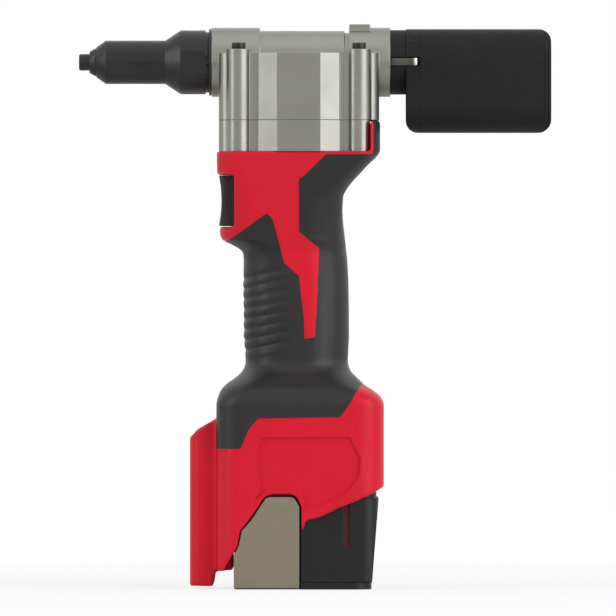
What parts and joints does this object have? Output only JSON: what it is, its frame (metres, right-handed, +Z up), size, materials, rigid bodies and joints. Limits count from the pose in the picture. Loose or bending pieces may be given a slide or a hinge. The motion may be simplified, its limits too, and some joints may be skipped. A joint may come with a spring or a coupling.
{
  "type": "battery rivet tool",
  "caption": "Pistol grip battery tool that sets blind rivets: a trigger drives a motor, planetary gears and a pull spindle with jaws; the spent mandrels drop into a rear collector.",
  "frame": {"origin": "on the drive axis, in the plane of the battery floor that the tool stands on", "axes": "+X from the nose to the mandrel collector, +Y across the tool, +Z up"},
  "size_m": [0.1651, 0.054, 0.1972],
  "materials": {
    "red_plastic": "fine moulded red nylon",
    "grip_rubber": "matt black overmoulded rubber",
    "cast_metal": "bare die-cast alloy, slightly grainy",
    "black_steel": "black phosphated steel",
    "steel": "machined steel",
    "black_plastic": "matt black nylon",
    "battery_plastic": "matt black nylon",
    "clip_plastic": "grey khaki nylon",
    "copper": "enamelled copper",
    "magnet": "dark ferrite",
    "circuit_board": "green laminate",
    "cell_wrap": "shrink sleeve"
  },
  "bodies": {
    "battery": {"battery_case": "battery_plastic", "battery_floor": "battery_plastic", "battery_cells": "cell_wrap", "battery_terminals": "battery_plastic", "clip_pins": "steel"},
    "left_clip": {"left_clip": "clip_plastic"},
    "right_clip": {"right_clip": "clip_plastic"},
    "tool": {"left_shell": "red_plastic", "right_shell": "red_plastic", "left_grip": "grip_rubber", "right_grip": "grip_rubber", "casing_screws": "black_steel", "gear_head": "cast_metal", "ring_gear_case": "cast_metal", "head_screws": "black_steel", "bearing_plate": "cast_metal", "output_bearing": "steel", "thrust_bearing": "steel", "nut_bearing": "steel", "nose_housing": "black_steel", "nose_collar": "black_steel", "nose_washer": "black_steel", "nosepiece": "black_steel", "collector_neck": "black_plastic", "trigger_switch": "black_plastic", "control_board": "circuit_board", "terminal_block": "black_plastic", "lead_wires": "copper", "motor_can": "steel", "motor_magnets": "magnet", "motor_end_bell": "black_plastic", "motor_plate": "cast_metal", "rotor_bearings": "steel", "ring_gear": "steel"},
    "trigger": {"trigger": "black_plastic"},
    "collector": {"collector_cap": "black_plastic", "collector_cup": "black_plastic"},
    "latch": {"collector_latch": "steel"},
    "rotor": {"rotor_shaft": "steel", "rotor_core": "copper", "motor_pinion": "steel"},
    "carrier": {"planet_carrier": "steel", "bevel_pinion": "steel"},
    "planet_1": {"planet_1": "steel"},
    "planet_2": {"planet_2": "steel"},
    "planet_3": {"planet_3": "steel"},
    "nut": {"drive_nut": "steel", "bevel_gear": "steel"},
    "spindle": {"pull_spindle": "steel", "guide_pin": "steel", "jaw_case": "steel", "jaw_spring": "steel"},
    "jaw_1": {"jaw_1": "black_steel"},
    "jaw_2": {"jaw_2": "black_steel"},
    "jaw_3": {"jaw_3": "black_steel"},
    "jaw_pusher": {"jaw_pusher": "steel"}
  },
  "joints": [
    {"name": "battery_slide", "type": "slide", "parent": "battery", "child": "tool", "axis": [0, 0, 1], "range_m": [0, 0.078]},
    {"name": "left_clip_press", "type": "hinge", "parent": "battery", "child": "left_clip", "pos_m": [-0.0113, -0.023, 0.006], "axis": [1, 0, 0], "range_deg": [-4.5, 0], "stiffness_Nm_per_rad": 1},
    {"name": "right_clip_press", "type": "hinge", "parent": "battery", "child": "right_clip", "pos_m": [-0.0113, 0.023, 0.006], "axis": [1, 0, 0], "range_deg": [0, 4.5], "stiffness_Nm_per_rad": 1},
    {"name": "trigger_press", "type": "slide", "parent": "tool", "child": "trigger", "axis": [1, 0, 0], "range_m": [0, 0.003], "stiffness_N_per_m": 1500},
    {"name": "collector_pull", "type": "slide", "parent": "tool", "child": "collector", "axis": [1, 0, 0], "range_m": [0, 0.03]},
    {"name": "latch_flex", "type": "hinge", "parent": "tool", "child": "latch", "pos_m": [0.0327, -0.0108, 0.184], "axis": [0, 0, 1], "range_deg": [-5, 0], "stiffness_Nm_per_rad": 0.5},
    {"name": "rotor_spin", "type": "hinge", "parent": "tool", "child": "rotor", "pos_m": [0, 0, 0.104], "axis": [0, 0, 1], "range_deg": [0, 7308]},
    {"name": "carrier_spin", "type": "hinge", "parent": "tool", "child": "carrier", "pos_m": [0, 0, 0.16], "axis": [0, 0, 1], "range_deg": [0, 1461.6]},
    {"name": "planet_1_spin", "type": "hinge", "parent": "carrier", "child": "planet_1", "pos_m": [0.0105, 0, 0.154], "axis": [0, 0, 1], "range_deg": [-3897.61, 0]},
    {"name": "planet_2_spin", "type": "hinge", "parent": "carrier", "child": "planet_2", "pos_m": [-0.00525, 0.00909, 0.154], "axis": [0, 0, 1], "range_deg": [-3897.61, 0]},
    {"name": "planet_3_spin", "type": "hinge", "parent": "carrier", "child": "planet_3", "pos_m": [-0.00525, -0.00909, 0.154], "axis": [0, 0, 1], "range_deg": [-3897.61, 0]},
    {"name": "nut_spin", "type": "hinge", "parent": "tool", "child": "nut", "pos_m": [-0.016, 0, 0.184], "axis": [1, 0, 0], "range_deg": [-1461.61, 0]},
    {"name": "spindle_pull", "type": "slide", "parent": "tool", "child": "spindle", "axis": [1, 0, 0], "range_m": [0, 0.0203]},
    {"name": "jaw_1_close", "type": "slide", "parent": "spindle", "child": "jaw_1", "axis": [-0.9701, 0, 0.2425], "range_m": [0, 0.0024]},
    {"name": "jaw_2_close", "type": "slide", "parent": "spindle", "child": "jaw_2", "axis": [-0.9701, -0.21, -0.1213], "range_m": [0, 0.0024]},
    {"name": "jaw_3_close", "type": "slide", "parent": "spindle", "child": "jaw_3", "axis": [-0.9701, 0.21, -0.1213], "range_m": [0, 0.0024]},
    {"name": "pusher_advance", "type": "slide", "parent": "spindle", "child": "jaw_pusher", "axis": [-1, 0, 0], "range_m": [0, 0.0023], "deforming": ["jaw_spring"]}
  ],
  "couplings": [
    {"joint": "rotor_spin", "follows": "spindle_pull", "rad_per_m": 6283.2},
    {"joint": "carrier_spin", "follows": "spindle_pull", "rad_per_m": 1256.6},
    {"joint": "planet_1_spin", "follows": "spindle_pull", "rad_per_m": -3351},
    {"joint": "planet_2_spin", "follows": "spindle_pull", "rad_per_m": -3351},
    {"joint": "planet_3_spin", "follows": "spindle_pull", "rad_per_m": -3351},
    {"joint": "nut_spin", "follows": "spindle_pull", "rad_per_m": -1256.6},
    {"joint": "jaw_1_close", "follows": "spindle_pull", "ratio": 0.11822},
    {"joint": "jaw_2_close", "follows": "spindle_pull", "ratio": 0.11822},
    {"joint": "jaw_3_close", "follows": "spindle_pull", "ratio": 0.11822},
    {"joint": "pusher_advance", "follows": "spindle_pull", "ratio": 0.1133}
  ]
}
